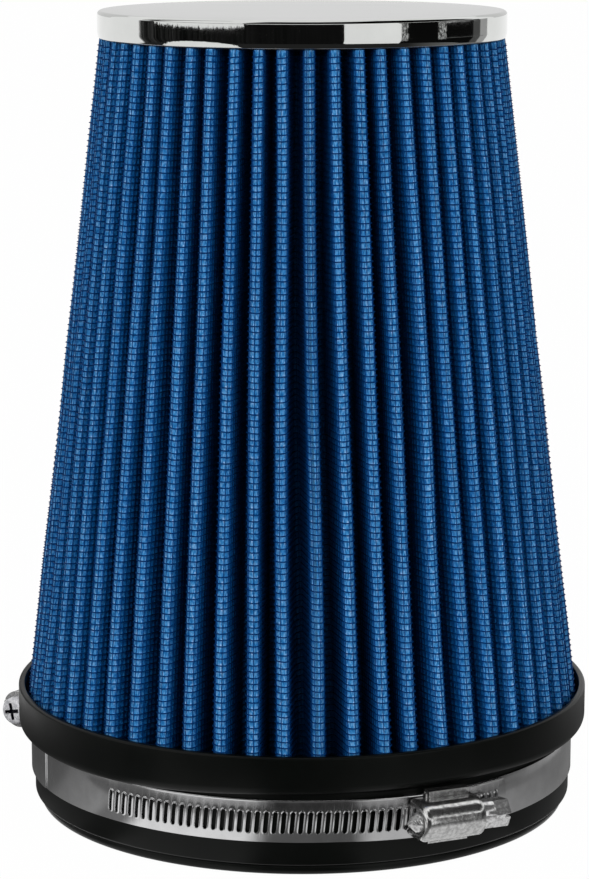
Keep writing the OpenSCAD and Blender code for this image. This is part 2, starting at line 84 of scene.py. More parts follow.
# scatter of the folds: degrees for turns, millimetres for dips, shares for sizes
CREST_SCATTER, VALLEY_SCATTER, FOLD_SCATTER = 0.22, 0.35, 0.05
PLEAT_LEAN, PLEAT_SWAY, CREST_WANDER, CREST_DIP = -1.6, 3.2, 0.16, 0.22

NECK_R = 84.2


# ---------------------------------------------------------------- meshes
def placed(name, data):
    """A new object in the scene."""
    thing = bpy.data.objects.new(name, data)
    bpy.context.scene.collection.objects.link(thing)
    return thing


def new_object(name, verts, faces, material):
    """A piece on the body root, from points in millimetres and an array of quads."""
    mesh = bpy.data.meshes.new(name)
    points = (np.asarray(verts, float).reshape(-1, 3) * MM).astype(np.float32)
    corners = faces.astype(np.int32).ravel()
    count, size = faces.shape
    mesh.vertices.add(len(points))
    mesh.vertices.foreach_set("co", points.ravel())
    mesh.loops.add(len(corners))
    mesh.loops.foreach_set("vertex_index", corners)
    mesh.polygons.add(count)
    mesh.polygons.foreach_set("loop_start", np.arange(count, dtype=np.int32) * size)
    mesh.update(calc_edges=True)
    mesh.polygons.foreach_set("use_smooth", [True] * count)
    mesh.materials.append(material)
    mesh.validate()
    mesh.update()
    piece = placed(name, mesh)
    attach(piece, "root")
    return piece


def tidied(piece, sharp=50, distance=2e-6):
    """Joins points that lie together, turns every face outwards and keeps sharp edges sharp."""
    form = bmesh.new()
    form.from_mesh(piece.data)
    bmesh.ops.remove_doubles(form, verts=form.verts, dist=distance)
    bmesh.ops.recalc_face_normals(form, faces=form.faces)
    form.to_mesh(piece.data)
    form.free()
    piece.data.set_sharp_from_angle(angle=math.radians(sharp))
    return piece


def grid_quads(rows, cols, wrap_rows=False, wrap_cols=False, start=0, flip=False):
    """Quads over a grid of points numbered row by row."""
    i = np.arange(rows if wrap_rows else rows - 1)
    j = np.arange(cols if wrap_cols else cols - 1)
    i, j = np.meshgrid(i, j, indexing="ij")
    i, j = i.ravel(), j.ravel()
    a, b = i * cols + j, i * cols + (j + 1) % cols
    c, d = ((i + 1) % rows) * cols + (j + 1) % cols, ((i + 1) % rows) * cols + j
    quads = np.stack([a, b, c, d], axis=1) + start
    return quads[:, ::-1] if flip else quads


def lathe(profile, steps):
    """Points and quads of a closed profile of (radius, z) turned about the axis."""
    profile = np.array(profile, float)
    turn = np.arange(steps) * 2 * math.pi / steps
    r, z = profile[:, 0][:, None], profile[:, 1][:, None]
    points = np.stack([r * np.cos(turn), r * np.sin(turn), z + 0 * turn], axis=2)
    return points.reshape(-1, 3), grid_quads(len(profile), steps, wrap_rows=True, wrap_cols=True)


def arc(cx, cy, r, start, end, steps):
    """Points of an arc, angles in degrees."""
    return [
        (cx + r * math.cos(math.radians(a)), cy + r * math.sin(math.radians(a)))
        for a in np.linspace(start, end, steps + 1)
    ]


def tubes(centres, first, second, radius, sides, closed):
    """Round wires: centres is (wires, points, 3), and first and second span each cross-section."""
    count, length, _ = centres.shape
    ring = np.arange(sides) * 2 * math.pi / sides
    spread = (
        first[:, :, None] * np.cos(ring)[:, None] + second[:, :, None] * np.sin(ring)[:, None]
    )
    points = centres[:, :, None] + radius * spread
    one = grid_quads(length, sides, wrap_rows=closed, wrap_cols=True)
    quads = [one + k * length * sides for k in range(count)]
    return points.reshape(-1, 3), np.concatenate(quads)


# ---------------------------------------------------------------- the folded sheet
rng = np.random.default_rng(SEED)


def wander(count, low, high, terms=3):
    """For each of count pleats, a slow wave of the height, as amplitudes and phases."""
    size = rng.normal(size=(terms, count)) / np.arange(1, terms + 1)[:, None]
    phase = rng.uniform(0, 2 * math.pi, size=(terms, count))
    pace = rng.uniform(low, high, size=(terms, count))
    return size, phase, pace


def wander_at(waves, t):
    size, phase, pace = waves
    return (size * np.sin(pace * t[:, None, None] + phase)).sum(axis=1)


crest_turn = wander(PLEATS, 3, 9)
crest_lift = wander(PLEATS, 4, 12)
crest_set = rng.normal(size=PLEATS) * CREST_SCATTER
valley_set = rng.normal(size=PLEATS) * VALLEY_SCATTER
fold_size = 1 + rng.normal(size=PLEATS) * FOLD_SCATTER

level_waves = [
    (rng.uniform(0.05, 0.12), int(rng.integers(2, 60)), rng.uniform(0, 6.28),
     rng.uniform(0.01, 0.06))
    for _ in range(9)
]


def level_drift(turn, z):
    """How far a level wire strays from level, for an angle in radians and a height."""
    return sum(a * np.sin(n * turn + p + k * z) for a, n, p, k in level_waves)


def cone_at(t):
    """Radius of the sheet's outer folds, and the share of their full depth that the pleats have."""
    return BOTTOM_R + (TOP_R - BOTTOM_R) * t - STACK, 1 - (1 - TOP_R / BOTTOM_R) * t


def pleat_frames(t):
    """Places of each fold at the heights t, from 0 at the well to 1 at the cap."""
    k = np.arange(PLEATS)
    base = np.radians(FIRST_PLEAT + k * 360 / PLEATS)
    drift = np.radians(PLEAT_LEAN) + np.radians(PLEAT_SWAY) * np.sin(base + math.pi / 2)
    t = t[:, None]
    turn = base + np.radians(crest_set) + (t - 0.5) * drift
    turn = turn + np.radians(CREST_WANDER) * wander_at(crest_turn, t[:, 0])
    outer, shrink = cone_at(t)
    dip = CREST_DIP * np.abs(wander_at(crest_lift, t[:, 0]))
    crest = outer - dip * np.sin(math.pi * t) ** 0.5
    after = np.roll(turn, -1, axis=1)
    after[:, -1] += 2 * math.pi
    valley_turn = (turn + after) / 2 + np.radians(valley_set) * np.sin(math.pi * t)
    valley = outer - PLEAT_DEPTH * shrink + 0 * turn
    out_r = (FOLD_OUT_LOW + (FOLD_OUT_HIGH - FOLD_OUT_LOW) * t) * fold_size
    in_r = FOLD_IN_LOW + (FOLD_IN_HIGH - FOLD_IN_LOW) * t + 0 * turn
    return turn, crest, out_r, valley_turn, valley, in_r


def unit(a):
    return np.stack([np.cos(a), np.sin(a)], axis=-1)


def sheet_walls(t):
    """For each height and pleat: fold centres and the turns at which the folds' arcs end."""
    turn, crest, out_r, valley_turn, valley, in_r = pleat_frames(t)
    top = unit(turn) * (crest - out_r)[..., None]
    low = unit(valley_turn) * (valley + in_r)[..., None]
    next_top, next_turn, next_r = (np.roll(x, -1, axis=1) for x in (top, turn, out_r))
    next_turn[:, -1] += 2 * math.pi

    def touch(centre, r, facing, side):
        across = low - centre
        d = np.linalg.norm(across, axis=-1)
        ahead = unit(facing)
        lean = np.arctan2(
            ahead[..., 0] * across[..., 1] - ahead[..., 1] * across[..., 0],
            (ahead * across).sum(-1),
        )
        return facing + lean - side * np.arccos(np.clip((r + in_r) / d, -1, 1))

    end = touch(top, out_r, turn, 1)
    start = touch(next_top, next_r, next_turn, -1)
    return dict(
        turn=turn, top=top, out_r=out_r, low=low, in_r=in_r, end=end, start=start,
        next_turn=next_turn, next_top=next_top, next_r=next_r,
    )


def sheet_points(walls, pleat, part, share):
    """Middle line of the sheet and the direction it faces, for points given by pleat, part and
    share of that part. Parts: 0 fold, 1 wall down, 2 inner fold, 3 wall up, 4 next fold's half."""
    w = {k: v[:, pleat] for k, v in walls.items()}
    share = share[None, :]

    def mix(a, b):
        return a + (b - a) * share

    facing = np.select(
        [part == 0, part == 1, part == 2, part == 3, part == 4],
        [
            mix(w["turn"], w["end"]), w["end"] + 0 * share, mix(w["end"], w["start"]),
            w["start"] + 0 * share, mix(w["start"], w["next_turn"]),
        ],
    )
    n = unit(facing)
    top = w["top"] + n * w["out_r"][..., None]
    low = w["low"] - n * w["in_r"][..., None]
    after = w["next_top"] + n * w["next_r"][..., None]
    s = share[..., None]
    places = [top, top + (low - top) * s, low, low + (after - low) * s, after]
    which = [np.broadcast_to((part == i)[None, :, None], n.shape) for i in range(5)]
    return np.select(which, places), n


def part_lengths():
    """Lengths of the five parts of every pleat, at mid height."""
    w = sheet_walls(np.array([0.5]))

    def wall(centre, r, facing):
        n = unit(w[facing])
        span = w[centre] + n * w[r][..., None] - w["low"] + n * w["in_r"][..., None]
        return np.linalg.norm(span, axis=-1)

    return np.stack([
        w["out_r"] * (w["end"] - w["turn"]), wall("top", "out_r", "end"),
        w["in_r"] * (w["end"] - w["start"]), wall("next_top", "next_r", "start"),
        w["next_r"] * (w["next_turn"] - w["start"]),
    ], axis=-1)[0]


LENGTHS = part_lengths()
EDGES = np.concatenate([[0], np.cumsum(LENGTHS.ravel())])
SHEET_W = EDGES[-1]


def at_length(s):
    """Pleat, part and share for lengths along the sheet."""
    i = np.clip(np.searchsorted(EDGES, s, side="right") - 1, 0, PLEATS * 5 - 1)
    return i // 5, i % 5, (s - EDGES[i]) / (EDGES[i + 1] - EDGES[i])


def columns(steps):
    """Pleat, part and share of mesh columns, with so many steps on each of the five parts."""
    part = np.concatenate([[p] * n for p, n in enumerate(steps)])
    share = np.concatenate([np.arange(n) / n for n in steps])
    pleat = np.repeat(np.arange(PLEATS), len(part))
    return pleat, np.tile(part, PLEATS), np.tile(share, PLEATS)


def lengths_at(pleat, part, share):
    i = pleat * 5 + part
    return EDGES[i] + share * (EDGES[i + 1] - EDGES[i])


def depth_at(points, t):
    """0 at the outer folds, 1 at the inner ones."""
    outer, shrink = cone_at(t)
    r = np.linalg.norm(points, axis=-1)
    return np.clip((outer[:, None] - r) / (PLEAT_DEPTH * shrink[:, None]), 0, 1)


def height_at(t):
    return WELL_Z + (TOP_Z - WELL_Z) * t


def add_weave(piece, u, v, depth):
    """UV in counts of upright and level wires, and the depth in the pleat."""
    mesh = piece.data
    corner = np.zeros(len(mesh.loops), np.int32)
    mesh.loops.foreach_get("vertex_index", corner)
    layer = mesh.uv_layers.new(name="weave")
    uv = np.stack([u[corner], v[corner]], axis=1)
    layer.data.foreach_set("uv", uv.astype(np.float32).ravel())
    attribute = mesh.attributes.new("depth", "FLOAT", "POINT")
    attribute.data.foreach_set("value", depth.astype(np.float32))


def build_cloth(material):
    """The folded sheet: two skins of one grid of points, closed along both edges."""
    pleat, part, share = columns((3, 3, 4, 3, 3))
    t = np.linspace(0, 1, 41)
    middle, n = sheet_points(sheet_walls(t), pleat, part, share)
    z = height_at(t)[:, None] + 0 * middle[..., 0]
    cols = len(pleat)
    s = lengths_at(pleat, part, share)
    depth = depth_at(middle, t)
    drift = level_drift(np.arctan2(middle[..., 1], middle[..., 0]), z)
    skins = [np.concatenate([middle + n * off, z[..., None]], axis=-1).reshape(-1, 3)
             for off in (CLOTH_FACE, CLOTH_BACK)]
    rows = len(t)
    size = rows * cols
    out = grid_quads(rows, cols, wrap_cols=True)
    back = grid_quads(rows, cols, wrap_cols=True, start=size, flip=True)
    j = np.arange(cols)
    k = (j + 1) % cols
    low = np.stack([j, j + size, k + size, k], axis=1)
    e = (rows - 1) * cols
    high = np.stack([j + e, k + e, k + e + size, j + e + size], axis=1)
    quads = np.concatenate([out, back, low, high])
    piece = new_object("folded_cloth", np.concatenate(skins), quads, material)
    u = np.tile((s / UPRIGHT_PITCH)[None, :], (rows, 1)).ravel()
    v = ((z - drift - WELL_Z) / LEVEL_PITCH).ravel()
    add_weave(piece, np.tile(u, 2), np.tile(v, 2), np.tile(depth.ravel(), 2))
    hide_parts("pleated_media")


def build_levels(material, name, off, radius, pitch, steps, sides, share_of=(0, 1)):
    """Level wires of a screen that follow the folded sheet."""
    z0 = WELL_Z + pitch / 2
    count = int((TOP_Z - LEVEL_LAST - z0) / pitch) + 1
    rows = np.arange(int(count * share_of[0]), int(count * share_of[1]))
    z = z0 + rows * pitch + rng.normal(size=len(rows)) * LEVEL_SCATTER
    z = np.minimum(z, TOP_Z - LEVEL_LIMIT)
    t = (z - WELL_Z) / (TOP_Z - WELL_Z)
    pleat, part, share = columns(steps)
    middle, n = sheet_points(sheet_walls(t), pleat, part, share)
    flat = np.zeros(middle.shape[:2] + (1,))
    turn = np.arctan2(middle[..., 1], middle[..., 0])
    height = z[:, None, None] + level_drift(turn, z[:, None])[..., None]
    centres = np.concatenate([middle + n * off, height], axis=-1)
    first_axis = np.concatenate([n, flat], axis=-1)
    second_axis = np.zeros_like(first_axis)
    second_axis[..., 2] = 1
    points, quads = tubes(centres, first_axis, second_axis, radius, sides, True)
    piece = new_object(name, points, quads, material)
    depth = np.repeat(depth_at(middle, t).ravel(), sides)
    add_weave(piece, 0 * depth, 0 * depth, depth)
    return piece


def build_uprights(material, name, off, radius, pitch, rows, sides, z_gap=0.1):
    """Upright wires of a screen."""
    count = round(SHEET_W / pitch)
    scatter = rng.uniform(-UPRIGHT_SCATTER, UPRIGHT_SCATTER, size=count)
    s = (np.arange(count) + 0.5 + scatter) * SHEET_W / count
    pleat, part, share = at_length(s)
    t = np.linspace(0.0, 1.0, rows)
    middle, n = sheet_points(sheet_walls(t), pleat, part, share)
    z = np.linspace(WELL_Z + z_gap, TOP_Z - z_gap, rows)
    side = np.stack([-n[..., 1], n[..., 0]], axis=-1)
    sway = rng.normal(size=(3, count)) * UPRIGHT_SWAY
    pace = rng.uniform(8, 30, size=(3, count))
    phase = rng.uniform(0, 6.28, size=(3, count))
    move = (sway * np.sin(pace * t[:, None, None] + phase)).sum(axis=1)
    centres = np.concatenate(
        [middle + n * off + side * move[..., None], z[:, None, None] + 0 * middle[..., :1]], axis=-1
    ).transpose(1, 0, 2)
    flat = np.zeros(middle.shape[:2] + (1,))
    axes = [np.concatenate([x, flat], axis=-1).transpose(1, 0, 2) for x in (n, side)]
    points, quads = tubes(centres, axes[0], axes[1], radius, sides, False)
    piece = new_object(name, points, quads, material)
    depth = np.repeat(depth_at(middle, t).T.ravel(), sides)
    add_weave(piece, 0 * depth, 0 * depth, depth)


# ---------------------------------------------------------------- materials
def shader(name):
    """A new material, its tree of nodes and its main shader."""
    material = bpy.data.materials.new(name)
    material.use_nodes = True
    return material, material.node_tree, material.node_tree.nodes["Principled BSDF"]


def add_node(tree, kind, **values):
    """A shader node; keys that name inputs set them, others set properties."""
    node = tree.nodes.new(kind)
    for key, value in values.items():
        if key in node.inputs:
            node.inputs[key].default_value = value
        else:
            setattr(node, key, value)
    return node


def math_node(tree, operation, a, b=None):
    node = tree.nodes.new("ShaderNodeMath")
    node.operation = operation
    for i, x in enumerate((a, b)):
        if x is None:
            continue
        if isinstance(x, (int, float)):
            node.inputs[i].default_value = x
        else:
            tree.links.new(x, node.inputs[i])
    return node.outputs[0]


def ramp(tree, factor, stops):
    node = tree.nodes.new("ShaderNodeValToRGB")
    while len(node.color_ramp.elements) < len(stops):
        node.color_ramp.elements.new(0.5)
    for element, (place, colour) in zip(node.color_ramp.elements, stops):
        element.position = place
        element.color = (*colour, 1)
    tree.links.new(factor, node.inputs[0])
    return node.outputs[0]


def noise(tree, scale, detail=3, coords=None, stretch=None):
    """Noise in the object's own metres, stretched if asked."""
    if coords is None:
        coords = tree.nodes.new("ShaderNodeTexCoord").outputs["Object"]
    if stretch:
        mapping = tree.nodes.new("ShaderNodeMapping")
        mapping.inputs["Scale"].default_value = stretch
        tree.links.new(coords, mapping.inputs[0])
        coords = mapping.outputs[0]
    node = add_node(tree, "ShaderNodeTexNoise", Scale=scale, Detail=detail)
    tree.links.new(coords, node.inputs["Vector"])
    return node.outputs[0]


def bump(tree, bsdf, height, distance, strength):
    node = add_node(tree, "ShaderNodeBump", Strength=strength, Distance=distance)
    tree.links.new(height, node.inputs["Height"])
    tree.links.new(node.outputs[0], bsdf.inputs["Normal"])


def rough_ramp(tree, bsdf, factor, *stops):
    """Roughness from a pattern; each stop is a place and a roughness."""
    rough = ramp(tree, factor, [(place, (value,) * 3) for place, value in stops])
    tree.links.new(rough, bsdf.inputs["Roughness"])


def multiply(tree, a, b):
    node = tree.nodes.new("ShaderNodeMix")
    node.data_type, node.blend_type = "RGBA", "MULTIPLY"
    node.inputs["Factor"].default_value = 1
    tree.links.new(a, node.inputs[6])
    tree.links.new(b, node.inputs[7])
    return node.outputs[2]


def cloth_material():
    material, tree, bsdf = shader("cotton_gauze")
    depth = add_node(tree, "ShaderNodeAttribute", attribute_name="depth").outputs["Fac"]
    # painted shade: the cloth's colour darkens from the outer folds to the inner ones, by the depth
    # in the pleat
    tint = ramp(tree, depth, [
        (0.0, (0.12, 0.36, 0.70)), (0.08, (0.06, 0.25, 0.58)), (0.18, (0.013, 0.14, 0.39)),
        (0.35, (0.004, 0.075, 0.24)), (0.6, (0.002, 0.035, 0.11)), (1.0, (0.0015, 0.03, 0.085)),
    ])
    uv = add_node(tree, "ShaderNodeUVMap", uv_map="weave").outputs[0]
    split = tree.nodes.new("ShaderNodeSeparateXYZ")
    tree.links.new(uv, split.inputs[0])
    cells = []
    for axis in ("X", "Y"):
        turns = math_node(tree, "MULTIPLY", split.outputs[axis], 2 * math.pi)
        wave = math_node(tree, "COSINE", turns)
        cells.append(math_node(tree, "MULTIPLY", wave, -0.5))
    pillow = math_node(tree, "ADD", cells[0], cells[1])
    threads = noise(tree, 1.0, 3, uv, (4.5, 0.9, 1))
    grain = ramp(tree, threads, [
        (0.32, (0.12, 0.42, 0.58)), (0.5, (0.8, 0.95, 0.98)), (0.68, (3.8, 1.7, 1.3))])
    colour = multiply(tree, tint, grain)
    # painted shade and light in each cell of the weave, from the pillow pattern at the wires'
    # pitches
    shade = ramp(tree, pillow, [(0.0, (0.45, 0.72, 0.82)), (0.9, (1.1, 1.1, 1.1))])
    colour = multiply(tree, colour, shade)
    tree.links.new(colour, bsdf.inputs["Base Color"])
    bsdf.inputs["Roughness"].default_value = 0.9
    bsdf.inputs["Specular IOR Level"].default_value = 0.05
    height = math_node(tree, "ADD", pillow, math_node(tree, "MULTIPLY", threads, 1.6))
    bump(tree, bsdf, height, 0.00025, 0.8)
    return material


def wire_material(name, lit, deep):
    material, tree, bsdf = shader(name)
    depth = add_node(tree, "ShaderNodeAttribute", attribute_name="depth").outputs["Fac"]
    # painted light and shade: the colour goes from lit near the outer folds to deep near the inner
    # ones, by the depth in the pleat
    tint = ramp(tree, depth, [(0.0, lit), (0.12, lit), (0.35, deep), (1.0, deep)])
    spots = noise(tree, 900, 3)
    grain = ramp(tree, spots, [(0.3, (0.7, 0.7, 0.75)), (0.7, (1.25, 1.2, 1.15))])
    tree.links.new(multiply(tree, tint, grain), bsdf.inputs["Base Color"])
    bsdf.inputs["Roughness"].default_value = 0.5
    bsdf.inputs["Specular IOR Level"].default_value = 0.05
    bump(tree, bsdf, spots, 0.00005, 0.4)
    return material


def rubber_material():
    material, tree, bsdf = shader("moulded_black")
    blotch = noise(tree, 60, 4)
    tint = ramp(tree, blotch, [(0.3, (0.002, 0.0026, 0.0022)), (0.7, (0.0034, 0.004, 0.0034))])
    tree.links.new(tint, bsdf.inputs["Base Color"])
    rough_ramp(tree, bsdf, blotch, (0.2, 0.3), (0.8, 0.4))
    bsdf.inputs["Specular IOR Level"].default_value = 0.14
    bump(tree, bsdf, noise(tree, 1400, 2), 0.00004, 0.35)
    return material


def steel_material(name, colour, rough, scratch, spread, depth=0.00002, metal=1.0, worn=0.72,
                   grain=160):
    """Steel with lines of a pitch and spread, and marks of handling of a grain."""
    material, tree, bsdf = shader(name)
    lines = noise(tree, scratch, 4, stretch=spread)
    marks = noise(tree, grain, 5)
    dark = tuple(c * worn for c in colour)
    tint = ramp(tree, marks, [(0.35, dark), (0.62, colour)])
    tree.links.new(tint, bsdf.inputs["Base Color"])
    rough_ramp(tree, bsdf, lines, (0.25, rough * 0.7), (0.75, rough * 1.35))
    bsdf.inputs["Metallic"].default_value = metal
    height = math_node(tree, "ADD", lines, math_node(tree, "MULTIPLY", marks, 0.5))
    bump(tree, bsdf, height, depth, 0.5)
    return material


def screw_material():
    """Bright zinc on the lug screw, with painted shade in its cross recess."""
    material, tree, bsdf = shader("bright_zinc")
    a = math.radians(LUG_TURN)
    place = tree.nodes.new("ShaderNodeTexCoord").outputs["Object"]

    def along(*axis):
        dot = add_node(tree, "ShaderNodeVectorMath", operation="DOT_PRODUCT")
        dot.inputs[1].default_value = tuple(x / MM for x in axis)
        tree.links.new(place, dot.inputs[0])
        return dot.outputs["Value"]

    def squared_from(value, middle):
        off = math_node(tree, "ABSOLUTE", math_node(tree, "SUBTRACT", value, middle))
        return math_node(tree, "POWER", off, 2.0)

    across = squared_from(along(math.cos(a), math.sin(a), 0), LUG_SCREW_R)
    up = squared_from(along(0, 0, 1), STRIP_Z)
    out = along(-math.sin(a), math.cos(a), 0)
    inside = math_node(tree, "LESS_THAN", math_node(tree, "ADD", across, up), RECESS_R ** 2)
    sunk = math_node(tree, "LESS_THAN", out, HEAD_TOP - RECESS_EDGE)
    head = math_node(tree, "GREATER_THAN", out, HEAD_TOP - RECESS_DEPTH)
    mask = math_node(tree, "MULTIPLY", math_node(tree, "MULTIPLY", inside, sunk), head)
    spots = noise(tree, 700, 4)
    zinc = ramp(tree, spots, [(0.35, (0.62, 0.62, 0.66)), (0.6, (0.93, 0.93, 0.95))])
    # painted shade: the zinc is darkened almost to black inside the cross recess
    recess_shade = ramp(tree, mask, [(0.0, (1, 1, 1)), (1.0, (0.012, 0.012, 0.02))])
    tree.links.new(multiply(tree, zinc, recess_shade), bsdf.inputs["Base Color"])
    rough_ramp(tree, bsdf, spots, (0.3, 0.2), (0.7, 0.34))
    bsdf.inputs["Metallic"].default_value = 0.25
    bump(tree, bsdf, spots, 0.00004, 0.5)
    return material


def chrome_material():
    material, tree, bsdf = shader("bright_chrome")
    haze = noise(tree, 90, 4)
    tint = ramp(tree, haze, [(0.3, (0.64, 0.65, 0.635)), (0.7, (0.69, 0.70, 0.685))])
    tree.links.new(tint, bsdf.inputs["Base Color"])
    rough_ramp(tree, bsdf, haze, (0.3, 0.03), (0.7, 0.07))
    bsdf.inputs["Metallic"].default_value = 1
    bump(tree, bsdf, noise(tree, 300, 3), 0.00001, 0.5)
    return material


# ---------------------------------------------------------------- cap, base
def build_cap(material):
    low, high = node_box("top_cap")
    r, z0, z1 = high[0], low[2], high[2]
    wall, top_round, hem, hem_h, hem_round = 0.8, 1.2, 0.6, 1.6, 0.35
    flare, flare_h, flare_steps = 0.28, 2.3, 8
    flared = []
    for k in range(1, flare_steps + 1):
        share = k / flare_steps
        flared.append((r - flare * (1 - math.sin(math.pi / 2 * share)),
                       z0 + hem_round + (flare_h - hem_round) * share))
    profile = (
        [(0.02, z1 - wall)]
        + arc(r - top_round, z1 - top_round, top_round - wall, 90, 0, 6)
        + [(r - wall, z0 + hem_h), (r - wall - hem, z0 + hem_h), (r - wall - hem, z0 + 0.1)]
        + [(r - wall - hem + 0.1, z0)]
        + arc(r - flare - hem_round, z0 + hem_round, hem_round, -90, -20, 6)
        + flared
        + arc(r - top_round, z1 - top_round, top_round, 0, 90, 14)
        + [(r * 0.6, z1), (0.02, z1)]
    )
    points, quads = lathe(profile, 384)
    piece = tidied(new_object("pressed_cap", points, quads, material))
    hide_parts("top_cap")


# how far the lip hangs over the strip: depth, middle and half width of each place; the sag sets in
# over SAG_REACH beyond the neck and fades over SAG_FADE below the rim
LIP_SAGS = ((2.4, -155, 50), (0.8, -18, 26))
SAG_START, SAG_REACH, SAG_TOP, SAG_FADE = 0.8, 2.4, 4, 6


def build_base(material):
    lip_r, _, rim_z = node_box("base")[1]
    inlet_r, neck_r, depth = 76.2, NECK_R, 27.5
    lip_wall, well_z = 2.0, 31.0
    inner_rim_r, stop_r = 70.7, 69.4
    foot_r, foot_h = neck_r - 1.7, 3.4
    fillet = 2.6
    fillet_z = depth + fillet / 2
    profile = (
        arc(inlet_r + 0.5, 0.5, 0.5, 180, 270, 3)
        + arc(foot_r - 1.4, 1.4, 1.4, -90, 0, 8)
        + [(foot_r, foot_h - 0.9), (foot_r - 0.5, foot_h - 0.3)]
        + arc(neck_r - 0.8, foot_h + 0.8, 0.8, -90, 0, 6)
        + [(neck_r, 8), (neck_r, 23)]
        + arc(neck_r + 1.6, fillet_z - 1.6 - fillet, 1.6, 180, 90, 6)
        + arc(lip_r - fillet, fillet_z, fillet, -70, 0, 8)
        + arc(lip_r - 0.8, rim_z - 0.8, 0.8, 0, 90, 6)
        + arc(lip_r - lip_wall + 0.4, rim_z - 0.4, 0.4, 90, 180, 4)
        + [(lip_r - lip_wall, well_z), (inner_rim_r, well_z), (inner_rim_r, well_z + 4)]
        + [(stop_r, well_z + 4), (stop_r, depth), (inlet_r, depth)]
    )
    points, quads = lathe(profile, 360)
    turn = np.degrees(np.arctan2(points[:, 1], points[:, 0]))
    off_neck = np.hypot(points[:, 0], points[:, 1]) - neck_r
    reach = np.clip((off_neck - SAG_START) / SAG_REACH, 0, 1)
    share = reach * np.clip((rim_z - SAG_TOP - points[:, 2]) / SAG_FADE, 0, 1)
    for sag, middle, spread in LIP_SAGS:
        away = (turn - middle + 180) % 360 - 180
        points[:, 2] -= sag * share * np.exp(-(away / spread) ** 4)
    piece = tidied(new_object("moulded_base", points, quads, material))
    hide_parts("base")


# ---------------------------------------------------------------- clamp strips, in millimetres
GAP = 0.05
strip_low, strip_high = node_box("housing_band")
STRIP_W, STRIP_T = strip_high[2] - strip_low[2], 0.7
STRIP_Z = (strip_low[2] + strip_high[2]) / 2
STRIP_R = NECK_R + GAP
CROWN = 0.4
EDGE_H = 0.6
EDGE_ROWS = np.array([0, 0.2, 0.45, 0.6])
# the tail is sprung TAIL_LIFT off the neck, over its last TAIL_SPRING degrees
WORM_TURN, TAIL_TURN, TAIL_ROUND, TAIL_LIFT, TAIL_SPRING = -61.0, -45.6, 2.2, 0.5, 9
REAR_END = 163.0
SADDLE_T = 0.75
LIFTED_R = STRIP_R + STRIP_T + GAP + SADDLE_T + 3 * GAP
TAIL_R = STRIP_R + STRIP_T + 2 * GAP
LIFT_SHIFT = (LIFTED_R ** 2 - TAIL_R ** 2) / (
    2 * (LIFTED_R - TAIL_R * math.cos(math.radians(TAIL_TURN - WORM_TURN))))
LIFT_BEND_R = LIFTED_R - LIFT_SHIFT
SLOT_FIRST, SLOT_PITCH, SLOT_COUNT = -131.6, 1.73, 49
SLOT_L, SLOT_W, SLOT_LEAN, SLOT_DROP = 6.6, 1.25, 5.5, 0.3
LEAN = math.tan(math.radians(SLOT_LEAN))
# how far before the slots the plain part starts to crown and to lean, in degrees
CROWN_FADE, LEAN_FADE = 7.5, 8
LUG_TURN, LUG_SCREW_R, LUG_T, LUG_W, LUG_HOLE_R, LUG_TUCK = 146.0, 94.5, 1.5, 12.0, 2.65, 4.5
FRONT_LUG_Y, LUG_FOOT_END, LUG_FOOT_T = 24.8, -156.9, 0.3
# the painted shade in the lug screw's recess: its reach from the axis, and from where to where it
# lies below the head's top
HEAD_TOP, RECESS_R, RECESS_EDGE, RECESS_DEPTH = 29.3, 2.85, 0.12, 2.2


def strip_radius(turn):
    """Inner radius of the slotted strip: on the neck, and bulging out over the saddle."""
    sprung = TAIL_LIFT * np.clip((turn - TAIL_TURN + TAIL_SPRING) / TAIL_SPRING, 0, 1) ** 2
    away = np.radians(turn - WORM_TURN)
    reach = LIFT_BEND_R ** 2 - (LIFT_SHIFT * np.sin(away)) ** 2
    lifted = LIFT_SHIFT * np.cos(away) + np.sqrt(reach)
    lifted = np.where(np.abs(away) < 1.0, lifted, STRIP_R - 1)
    return (STRIP_R + lifted + np.sqrt((STRIP_R - lifted) ** 2 + 0.01)) / 2 + sprung


def on_strip(turn, height, out, radius=strip_radius):
    """Points of a strip, from angles, heights from its middle and places in its thickness."""
    r, a = radius(turn) + out, np.radians(turn)
    return np.stack([r * np.cos(a), r * np.sin(a), STRIP_Z + height], axis=-1)


def crowned(height):
    """Lift of a strip's outer face across its width, its upper edge turned out a little."""
    edge = np.interp(height, STRIP_W / 2 - EDGE_H + EDGE_ROWS, (0, 0.05, 0.15, 0.07))
    return CROWN * (0.6 - (2 * height / STRIP_W) ** 2) + edge


def both_halves(right, top):
    half = np.concatenate([right, top])
    return np.concatenate([half, -half])


def stadium(width, length, sides, ends):
    """Outline of a slot round its middle, from its lower right corner upwards."""
    r = width / 2
    straight = np.linspace(-(length / 2 - r), length / 2 - r, sides + 1)[:-1]
    half_turn = np.linspace(0, math.pi, ends + 1)[:-1]
    right = np.stack([np.full(sides, r), straight], axis=1)
    top = np.stack([r * np.cos(half_turn), length / 2 - r + r * np.sin(half_turn)], axis=1)
    return both_halves(right, top)


def cell_frame(width, height, sides, ends):
    """Outline of a cell, its points matched to those of a slot's outline."""
    x, y = width / 2, height / 2
    right = np.stack([np.full(sides, x), np.linspace(-y, y, sides + 1)[:-1]], axis=1)
    top = np.stack([np.linspace(x, -x, ends + 1)[:-1], np.full(ends, y)], axis=1)
    return both_halves(right, top)


